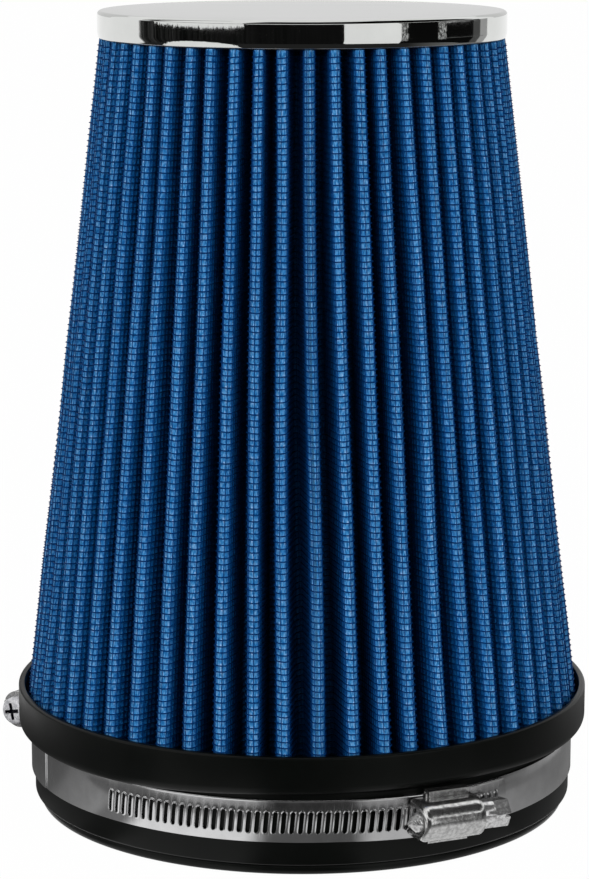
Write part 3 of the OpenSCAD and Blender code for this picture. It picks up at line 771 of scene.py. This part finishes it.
def plate(turns, heights, radius, thick, shear, outer=crowned, closed=(True, True)):
    """Plate over a grid of angles; heights holds each column's share of the half width, and closed
    says which of its two ends have a face."""
    edge = STRIP_W / 2 - EDGE_H + EDGE_ROWS
    rows = np.concatenate([-edge[::-1], np.linspace(-edge[0], edge[0], 9)[1:-1], edge])
    turn = turns[:, None] + 0 * rows
    height = heights[:, None] * rows
    turn = turn + np.degrees(height * shear[:, None] / (STRIP_R + STRIP_T))
    skins = [on_strip(turn, height, out, radius) for out in (thick + outer(height), 0 * height)]
    n, m = turn.shape
    size = n * m
    faces = [grid_quads(n, m), grid_quads(n, m, start=size, flip=True)]
    i, j = np.arange(n - 1), np.arange(m - 1)
    for row in (0, m - 1):
        a = i * m + row
        quads = np.stack([a, a + m, a + m + size, a + size], axis=1)
        faces.append(quads[:, :: -1 if row == 0 else 1])
    for column in np.array([0, n - 1])[list(closed)]:
        a = column * m + j
        quads = np.stack([a, a + 1, a + 1 + size, a + size], axis=1)
        faces.append(quads[:, :: 1 if column == 0 else -1])
    return np.concatenate([x.reshape(-1, 3) for x in skins]), np.concatenate(faces)


def slot_cells():
    """Cells of the slotted part: each has a slanted slot with a raised rim."""
    sides, ends = 8, 6
    step = math.radians(SLOT_PITCH) * (STRIP_R + STRIP_T)
    rings = [(None, 0.0)] + [(grow, lift) for grow, lift in (
        (0.52, 0.0), (0.40, 0.0), (0.30, 0.10), (0.20, 0.22), (0.08, 0.26), (0.0, 0.18),
        (0.0, -STRIP_T))] + [(None, -STRIP_T)]
    points, faces, start = [], [], 0
    for k in range(SLOT_COUNT):
        middle = SLOT_FIRST + k * SLOT_PITCH
        for grow, lift in rings:
            if grow is None:
                outline = cell_frame(step, STRIP_W - 2 * EDGE_H, sides, ends)
            else:
                outline = stadium(SLOT_W + 2 * grow, SLOT_L + 2 * grow, sides, ends)
                outline = outline - [0, SLOT_DROP]
            x, height = outline[:, 0] + outline[:, 1] * LEAN, outline[:, 1]
            out = STRIP_T + lift + (crowned(height) if lift > -STRIP_T else 0)
            points.append(on_strip(middle + np.degrees(x / (STRIP_R + STRIP_T)), height, out))
        count = len(outline)
        faces.append(grid_quads(len(rings), count, wrap_cols=True, start=start))
        start += count * len(rings)
    points, faces = [np.concatenate(points)], [np.concatenate(faces)]
    turns = SLOT_FIRST + SLOT_PITCH * (np.arange(SLOT_COUNT * ends + 1) / ends - 0.5)
    for side in (-1, 1):
        height = side * (STRIP_W / 2 - EDGE_H + EDGE_ROWS) + 0 * turns[:, None]
        turn = turns[:, None] + np.degrees(height * LEAN / (STRIP_R + STRIP_T))
        n, m = turn.shape
        points += [on_strip(turn, height, out).reshape(-1, 3)
                   for out in (STRIP_T + crowned(height), 0 * height)]
        a = start + np.arange(n - 1) * m + m - 1
        quads = [grid_quads(n, m, start=start), grid_quads(n, m, start=start + n * m, flip=True),
                 np.stack([a, a + m, a + m + n * m, a + n * m], axis=1)]
        faces.append(np.concatenate(quads))
        start += 2 * n * m
    return np.concatenate(points), np.concatenate(faces)


def merged(parts):
    """One set of points and quads from several."""
    start, points, faces = 0, [], []
    for p, f in parts:
        points.append(p)
        faces.append(f + start)
        start += len(p)
    return np.concatenate(points), np.concatenate(faces)


def build_strips(material):
    """The slotted strip: its plain part, its slots, and its tail over the other strip."""
    first = SLOT_FIRST - SLOT_PITCH / 2
    last = SLOT_FIRST + (SLOT_COUNT - 0.5) * SLOT_PITCH
    turns = np.linspace(REAR_END - 360, first, 60)
    flat = np.clip((turns - first + CROWN_FADE) / CROWN_FADE, 0, 1)[:, None]
    shear = LEAN * np.clip((turns - first + LEAN_FADE) / LEAN_FADE, 0, 1)
    plain = plate(turns, 0 * turns + 1, strip_radius, STRIP_T, shear,
                  outer=lambda height: flat * crowned(height), closed=(True, False))
    turns = np.linspace(last, TAIL_TURN, 16)
    left = np.radians(TAIL_TURN - turns) * TAIL_R
    inset = np.where(left < TAIL_ROUND, TAIL_ROUND - np.sqrt(
        np.clip(TAIL_ROUND ** 2 - (TAIL_ROUND - left) ** 2, 0, None)), 0)
    shear = LEAN * np.clip(1 - (turns - last) / (TAIL_TURN - last), 0, 1)
    tail = plate(turns, 1 - 2 * inset / STRIP_W, strip_radius, STRIP_T, shear, closed=(False, True))
    points, faces = merged([plain, slot_cells(), tail])
    piece = tidied(new_object("slotted_strip", points, faces, material))
    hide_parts("slotted_band")


def turned(x, y, degrees):
    a = math.radians(degrees)
    return x * math.cos(a) - y * math.sin(a), x * math.sin(a) + y * math.cos(a)


def in_lug_frame(points):
    """From the lug screw's frame: X outwards, Y along the screw towards its head, Z up."""
    x, y, z = np.asarray(points, float).T
    return np.stack([*turned(x, y, LUG_TURN), z + STRIP_Z], axis=1)


def build_front_lug(strip_material, material):
    """Front lug: the strip's doubled end and the flange that the screw pulls on."""
    foot_r = STRIP_R + STRIP_T + GAP
    start = LUG_TURN + math.degrees(math.asin((FRONT_LUG_Y - LUG_T / 2) / foot_r)) - 360
    turns = np.linspace(start, LUG_FOOT_END, 40)
    points, faces = plate(turns, 0 * turns + 1, lambda turn: foot_r + 0 * turn, LUG_FOOT_T,
                          0 * turns, outer=lambda height: 0 * height)
    foot = tidied(new_object("front_lug_strip", points, faces, strip_material))
    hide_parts("front_lug")
    ring = arc(LUG_SCREW_R, 0, LUG_W / 2, -90, 90, 24)
    outline = [(foot_r - LUG_TUCK, side * LUG_W / 2) for side in (1, -1)] + ring
    hole = arc(LUG_SCREW_R, 0, LUG_HOLE_R, 0, 360, 32)[:-1]
    flange = bpy.data.meshes.new("front_lug_flange")
    form = bmesh.new()
    loops = []
    for y in (FRONT_LUG_Y, FRONT_LUG_Y - LUG_T):
        for loop in (outline, hole):
            place = in_lug_frame([(x, y, z) for x, z in loop]) * MM
            verts = [form.verts.new(tuple(q)) for q in place]
            loops.append(verts)
        edges = [form.edges.new((v[k], v[(k + 1) % len(v)]))
                 for v in loops[-2:] for k in range(len(v))]
        bmesh.ops.triangle_fill(form, use_beauty=True, edges=edges)
    for a, b in ((loops[0], loops[2]), (loops[1], loops[3])):
        for k in range(len(a)):
            form.faces.new((a[k], a[(k + 1) % len(a)], b[(k + 1) % len(a)], b[k]))
    bmesh.ops.recalc_face_normals(form, faces=form.faces)
    form.to_mesh(flange)
    form.free()
    flange.materials.append(material)
    flange.set_sharp_from_angle(angle=math.radians(40))
    piece = placed("front_lug_flange", flange)
    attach(piece, "root")
    ease(piece, 0.25)


# ---------------------------------------------------------------- worm housing, in millimetres
WORM_Z, WORM_LEAN = 16.7, -2.0
WORM_R, WORM_BITE = 4.95, 0.4
WORM_AXIS_R = LIFTED_R + STRIP_T + WORM_R - WORM_BITE
HOUSING_T, HOUSING_IN = 0.7, 5.15
HOUSING_OUT = HOUSING_IN + HOUSING_T
HOUSING_BACK, HOUSING_FRONT = -12.2, 7.8
HOUSING_ROUND, NOSE_HOLE_R = 1.9, 3.8
FLANGE_R = LIFTED_R + STRIP_T + 0.3
FLANGE_HALF, FLANGE_L = 7.05, 14.7


def in_worm_frame(points):
    """From the worm's frame: X outwards, Y along the screw towards its head, Z across."""
    x, y, z = np.asarray(points, float).reshape(-1, 3).T
    y, z = turned(y, z, WORM_LEAN)
    return np.stack([*turned(x, y, WORM_TURN), z + WORM_Z], axis=1)


def build_housing(material):
    """Barrel over the worm with a rolled closed end, its legs, and flanges bent like the strip."""
    back, front, out, ease_in, ease_out = HOUSING_BACK, HOUSING_FRONT, HOUSING_OUT, 0.15, 0.25
    section = (
        [(back + ease_in, NOSE_HOLE_R), (back, NOSE_HOLE_R + ease_in)]
        + arc(back + HOUSING_ROUND, out - HOUSING_ROUND, HOUSING_ROUND, 180, 90, 9)
        + [(back + (front - back) * k / 10, out) for k in range(2, 10)]
        + [(front - ease_out, out), (front, out - ease_out), (front, HOUSING_IN)]
        + [(back + HOUSING_T, HOUSING_IN), (back + HOUSING_T, NOSE_HOLE_R)]
    )
    y, r = np.array(section).T
    legs, dome = 4, 24
    share = np.concatenate([np.linspace(-2, -1, legs, endpoint=False), np.linspace(-1, 1, dome + 1),
                            np.linspace(1, 2, legs + 1)[1:]])[:, None]
    bend = np.radians(90 * np.clip(share, -1, 1))
    down = np.clip(np.abs(share) - 1, 0, 1)
    ends = np.sqrt(FLANGE_R ** 2 - y ** 2) - WORM_AXIS_R + 0.2
    x = r * np.cos(bend) * (np.abs(share) < 1) + down * ends
    z = np.where(np.abs(share) < 1, r * np.sin(bend), np.sign(share) * r)
    grid = np.stack([WORM_AXIS_R + x, y + 0 * x, z], axis=-1)
    parts = [(in_worm_frame(grid), grid_quads(len(share), len(section), wrap_cols=True))]
    for side in (-1, 1):
        along = np.linspace(-FLANGE_L / 2, FLANGE_L / 2, 13)
        rows = []
        for lift, across in ((0, HOUSING_IN), (HOUSING_T, HOUSING_IN),
                             (HOUSING_T, FLANGE_HALF), (0, FLANGE_HALF)):
            reach = np.sqrt((FLANGE_R + lift) ** 2 - along ** 2)
            rows.append(np.stack([reach, along, side * across + 0 * along], axis=-1))
        quads = grid_quads(4, 13, wrap_rows=True)
        ends_quads = np.array([[0, 13, 26, 39], [12, 25, 38, 51]])
        parts.append((in_worm_frame(np.stack(rows)), np.concatenate([quads, ends_quads])))
    points, faces = merged(parts)
    piece = tidied(new_object("housing_barrel", points, faces, material))
    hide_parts("worm_housing")


def ease(piece, width):
    """A small round on a piece's sharp edges."""
    edge = piece.modifiers.new("edges", "BEVEL")
    edge.width = width * MM
    edge.segments = 2
    edge.limit_method = "ANGLE"
    edge.angle_limit = math.radians(35)
    edge.harden_normals = False


def dress(names, material, bevel=0.12):
    """A solid shown as it is, with its edges eased and a better material."""
    for name in names:
        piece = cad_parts[name]
        piece.data.materials.clear()
        piece.data.materials.append(material)
        weld = piece.modifiers.new("weld", "WELD")
        weld.merge_threshold = 1e-6
        ease(piece, bevel)


build_cloth(cloth_material())
# each wire material's two colours are painted light and shade: lit at the outer folds, deep at the
# inner ones
wires = wire_material("coated_wire", (0.001, 0.045, 0.19), (0.0003, 0.012, 0.042))
# three pieces of level wires, so that none is too large
for part in range(3):
    piece = build_levels(wires, f"outer_screen_levels_{part + 1}", LEVEL_OFF, LEVEL_D / 2,
                         LEVEL_PITCH, (3, 1, 3, 1, 3), 3, (part / 3, (part + 1) / 3))
    if part == 0:
        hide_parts("outer_screen")
# painted light and shade, lit and deep, as above
fine_wires = wire_material("fine_coated_wire", (0.002, 0.055, 0.23), (0.0004, 0.012, 0.05))
build_uprights(fine_wires, "outer_screen_uprights", UPRIGHT_OFF, UPRIGHT_D / 2,
               UPRIGHT_PITCH, 18, 3)
# painted light and shade, lit and deep, as above
inner_wires = wire_material("inner_wire", (0.01, 0.03, 0.10), (0.02, 0.06, 0.2))
piece = build_levels(inner_wires, "inner_screen_levels", INNER_LEVEL_OFF, INNER_LEVEL_D / 2,
                     INNER_PITCH, (2, 1, 2, 1, 2), 3)
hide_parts("inner_screen")
build_uprights(inner_wires, "inner_screen_uprights", INNER_UPRIGHT_OFF, INNER_UPRIGHT_D / 2,
               INNER_PITCH, 12, 3)
build_cap(chrome_material())
black = rubber_material()
build_base(black)

strap = steel_material("clamp_strip", (0.64, 0.64, 0.645), 0.15, 260, (1, 1, 0.12), worn=0.9)
pressed = steel_material("pressed_steel", (0.74, 0.74, 0.735), 0.19, 420, (1, 1, 1),
                         depth=0.00005, metal=0.96, worn=0.66, grain=900)
plated = steel_material("plated_steel", (0.86, 0.86, 0.86), 0.19, 500, (1, 1, 1),
                        depth=0.00005, metal=0.82, worn=0.6, grain=1000)
alloy = steel_material("clip_alloy", (0.75, 0.75, 0.76), 0.3, 400, (1, 1, 0.1))
build_strips(strap)
build_front_lug(strap, pressed)
build_housing(pressed)
dress(["housing_band"], strap, 0.08)
dress(["housing_saddle", "rear_lug"], pressed, 0.15)
dress(["worm_screw", "lug_washer", "lug_nut"], plated)
dress(["lug_screw"], screw_material())
dress(["seam_clip"], alloy, 0.05)
dress(["top_seal"], black, 0.3)


# ---------------------------------------------------------------- stage, lights, camera
FLOOR_GLOW = 0.99
FLOOR_HALF, FLOOR_Z = 6.0, -0.0002
AMBIENT = 0.35


def glowing(name, level=1.0):
    """A material that only glows, its tree of nodes, its glow and its output."""
    material = bpy.data.materials.new(name)
    material.use_nodes = True
    tree = material.node_tree
    tree.nodes.clear()
    glow = add_node(tree, "ShaderNodeEmission", Color=(level, level, level, 1), Strength=1.0)
    out = tree.nodes.new("ShaderNodeOutputMaterial")
    tree.links.new(glow.outputs[0], out.inputs[0])
    return material, tree, glow, out


def card_material(name, level):
    return glowing(name, level)[0]


def seen_directly(tree):
    """1 for rays from the camera, off metal or through glass, and 0 for light on matt surfaces."""
    path = tree.nodes.new("ShaderNodeLightPath")
    seen = math_node(tree, "ADD", path.outputs["Is Camera Ray"], path.outputs["Is Glossy Ray"])
    seen = math_node(tree, "ADD", seen, path.outputs["Is Transmission Ray"])
    return math_node(tree, "MINIMUM", seen, 1.0)


def floor_material():
    material, tree, glow, out = glowing("pale_floor")
    diffuse = add_node(tree, "ShaderNodeBsdfDiffuse", Color=(0.82, 0.82, 0.82, 1))
    mix = tree.nodes.new("ShaderNodeMixShader")
    share = math_node(tree, "MULTIPLY", seen_directly(tree), FLOOR_GLOW)
    tree.links.new(share, mix.inputs[0])
    tree.links.new(diffuse.outputs[0], mix.inputs[1])
    tree.links.new(glow.outputs[0], mix.inputs[2])
    tree.links.new(mix.outputs[0], out.inputs[0])
    return material


def stage_piece(name, verts, faces, material):
    mesh = bpy.data.meshes.new(name)
    mesh.from_pydata(verts, [], faces)
    mesh.materials.append(material)
    piece = placed(name, mesh)
    return piece


def glossy_only(name, verts, faces, material, levels=None):
    """A card that only reflections see; levels gives each point its own brightness."""
    card = stage_piece(name, verts, faces, material)
    card.visible_camera = card.visible_diffuse = card.visible_shadow = False
    card.visible_transmission = card.visible_volume_scatter = False
    if levels is not None:
        level = card.data.attributes.new("level", "FLOAT", "POINT")
        level.data.foreach_set("value", levels.astype(np.float32))


def curved_card(name, radius, start, end, low, high, material, steps=24, ragged=0.0, arch=(0, 0),
                levels=None):
    """A card bent about the axis; arch lifts both ends of its lower and its upper edge, and levels
    has a brightness for each column."""
    verts = []
    for i in range(steps + 1):
        a = math.radians(start + (end - start) * i / steps)
        off = (2 * i / steps - 1) ** 2
        for edge, lift in ((low, arch[0]), (high, arch[1])):
            z = edge + lift * off + ragged * rng.normal()
            verts.append((radius * math.sin(a), -radius * math.cos(a), z))
    faces = [(2 * i, 2 * i + 2, 2 * i + 3, 2 * i + 1) for i in range(steps)]
    glossy_only(name, verts, faces, material, None if levels is None else np.repeat(levels, 2))


def graded_ring(name, inner, outer, stops, height=0.0003, steps=180):
    """A ring on the floor; stops has azimuths and the brightness at each."""
    turns = np.linspace(stops[0][0], stops[-1][0], steps + 1)
    verts = [(r * math.sin(a), -r * math.cos(a), height)
             for a in np.radians(turns) for r in (inner, outer)]
    faces = [(2 * i, 2 * i + 1, 2 * i + 3, 2 * i + 2) for i in range(steps)]
    levels = np.interp(np.repeat(turns, 2), *np.array(stops).T)
    glossy_only(name, verts, faces, graded, levels)


floor = [(x * FLOOR_HALF, y * FLOOR_HALF, FLOOR_Z) for x, y in ((-1, -1), (1, -1), (1, 1), (-1, 1))]
stage_piece("floor", floor, [(0, 1, 2, 3)], floor_material())

world = bpy.data.worlds.new("studio")
bpy.context.scene.world = world
world.use_nodes = True
tree = world.node_tree
tree.nodes.clear()
level = math_node(tree, "MULTIPLY", seen_directly(tree), 1 - AMBIENT)
level = math_node(tree, "ADD", level, AMBIENT)
background = add_node(tree, "ShaderNodeBackground", Color=(1, 1, 1, 1))
tree.links.new(level, background.inputs["Strength"])
out = tree.nodes.new("ShaderNodeOutputWorld")
tree.links.new(background.outputs[0], out.inputs[0])


def area_light(name, place, power, target=(0, 0, 0.12), size=0.9):
    """A square lamp that shines on the filter and isn't seen in its metal."""
    data = bpy.data.lights.new(name, "AREA")
    data.shape = "RECTANGLE"
    data.size, data.size_y, data.energy = size, size, power
    lamp = placed(name, data)
    lamp.location = place
    lamp.visible_glossy = False
    away = Vector(target) - Vector(place)
    lamp.rotation_euler = away.to_track_quat("-Z", "Y").to_euler()


area_light("key", (-0.7, -1.6, 0.9), 14)
area_light("fill", (0.8, -1.6, 0.7), 9)

dark = card_material("dark_card", 0.004)
white = card_material("white_card", 1.0)
line = card_material("line_card", 0.75)
graded, tree, glow, _ = glowing("graded_card")
level = add_node(tree, "ShaderNodeAttribute", attribute_name="level").outputs["Fac"]
tree.links.new(level, glow.inputs["Strength"])
speckled, tree, glow, _ = glowing("speckled_card")
spots = ramp(tree, noise(tree, 300, 3), [(0.46, (0.01,) * 3), (0.58, (0.6,) * 3)])
tree.links.new(spots, glow.inputs["Color"])

# Far and near cards' distance from the axis. Side cards stand on the floor and end at SIDE, because
# higher ones would darken the cap's top when it is seen from the side. Cards overhead reach from
# OVER to SKY.
FAR, NEAR = 0.75, 0.35
FOOT, SIDE, OVER, SKY = -0.0001, 0.31, 0.42, 2.2
GAP_R, GAP_TOP, SPECKLE_R = 0.36, 0.302, 0.345

streaks = np.clip(0.006 + 0.05 * rng.normal(size=301) * np.exp(-np.arange(301) / 60), 0.004, 0.12)
streaks[:6] = (0.6, 0.4, 0.22, 0.12, 0.08, 0.05)
curved_card("dark_left", FAR, -98.5, 23, FOOT, SIDE, graded, 300, levels=streaks)
curved_card("dark_over_left", FAR, -98.5, -85, OVER, SKY, dark)
curved_card("dark_over_front", FAR, -32, 108, OVER, SKY, dark)
curved_card("white_over", 0.74, -85, -32, 0.36, SKY, white, 90, 0.03)
curved_card("white_upper", NEAR, -82, -29, 0.2355, 0.273, white, 200, 0.0018, (0.003, 0))
curved_card("dark_gap", GAP_R, -86, -28, 0.27, GAP_TOP, dark)
curved_card("white_under", NEAR, -82, -34, 0.02, 0.178, white, 160, 0.005, (0, -0.08))
curved_card("dim_left", NEAR, -180, -100, 0.001, 0.1, card_material("dim_left_card", 0.07))
curved_card("white_right", FAR, 22, 54, 0.02, SIDE, white)
curved_card("dark_right", FAR, 54, 106, FOOT, SIDE, dark)
curved_card("bright_line", NEAR, 74, 112, 0.239, 0.2435, line)
curved_card("bright_line_low", NEAR, 76, 112, 0.2135, 0.217, card_material("faint_line_card", 0.13))
curved_card("dim_right", FAR, 106, 113, FOOT, SIDE, card_material("dim_card", 0.08))
curved_card("soft_right", FAR, 113, 121, FOOT, SIDE, card_material("soft_card", 0.4))
graded_ring("ground_near", 0.084, 0.14, (
    (-180, 0.07), (-105, 0.08), (-84, 0.12), (-78, 0.21), (-60, 0.32), (-56, 0.2), (-47, 0.2),
    (-43, 1.0), (-14, 1.0), (-9, 0.12), (10, 0.1), (15, 0.6), (50, 0.6), (56, 0.3), (90, 0.2),
    (118, 0.2), (128, 0.1), (180, 0.1)))
graded_ring("ground_middle", 0.14, 0.175, (
    (-180, 0.08), (-105, 0.08), (-60, 0.13), (-40, 0.14), (-36, 0.35), (-14, 0.35), (-9, 0.03),
    (10, 0.03), (15, 0.3), (48, 0.3), (56, 0.16), (90, 0.2), (118, 0.2), (128, 0.1), (180, 0.1)))
graded_ring("ground_far", 0.175, 0.34, (
    (-180, 1.0), (-112, 1.0), (-92, 0.55), (-75, 0.2), (-60, 0.05), (60, 0.05), (95, 0.28),
    (110, 0.42), (180, 0.42)))
graded_ring("ground_beyond", 0.34, FAR, (
    (-180, 1.0), (-104, 1.0), (-101, 0.02), (60, 0.02), (90, 0.16), (180, 0.3)))
curved_card("grey_behind", FAR, 130, 230, 0.25, 0.7, card_material("back_card", 0.71))
curved_card("dark_gap_right", GAP_R, 50, 108, 0.25, GAP_TOP, dark)
curved_card("speckle", SPECKLE_R, 74, 79.5, 0.199, 0.243, speckled, 20, 0.003)
curved_card("speckle_edge", SPECKLE_R, 51.5, 55, 0.19, 0.246, speckled, 20, 0.003)

CAMERA_PLACE = (0, -0.914, 0.2917)
CAMERA_PITCH, CAMERA_YAW = 11.05, 0.144
LENS, SENSOR = 122.7, 36
camera_data = bpy.data.cameras.new("camera")
camera_data.lens, camera_data.sensor_width = LENS, SENSOR
camera = placed("camera", camera_data)
camera.location = CAMERA_PLACE
camera.rotation_euler = (math.radians(90 - CAMERA_PITCH), 0, math.radians(CAMERA_YAW))
bpy.context.scene.camera = camera
bpy.context.scene.view_settings.view_transform = "Standard"
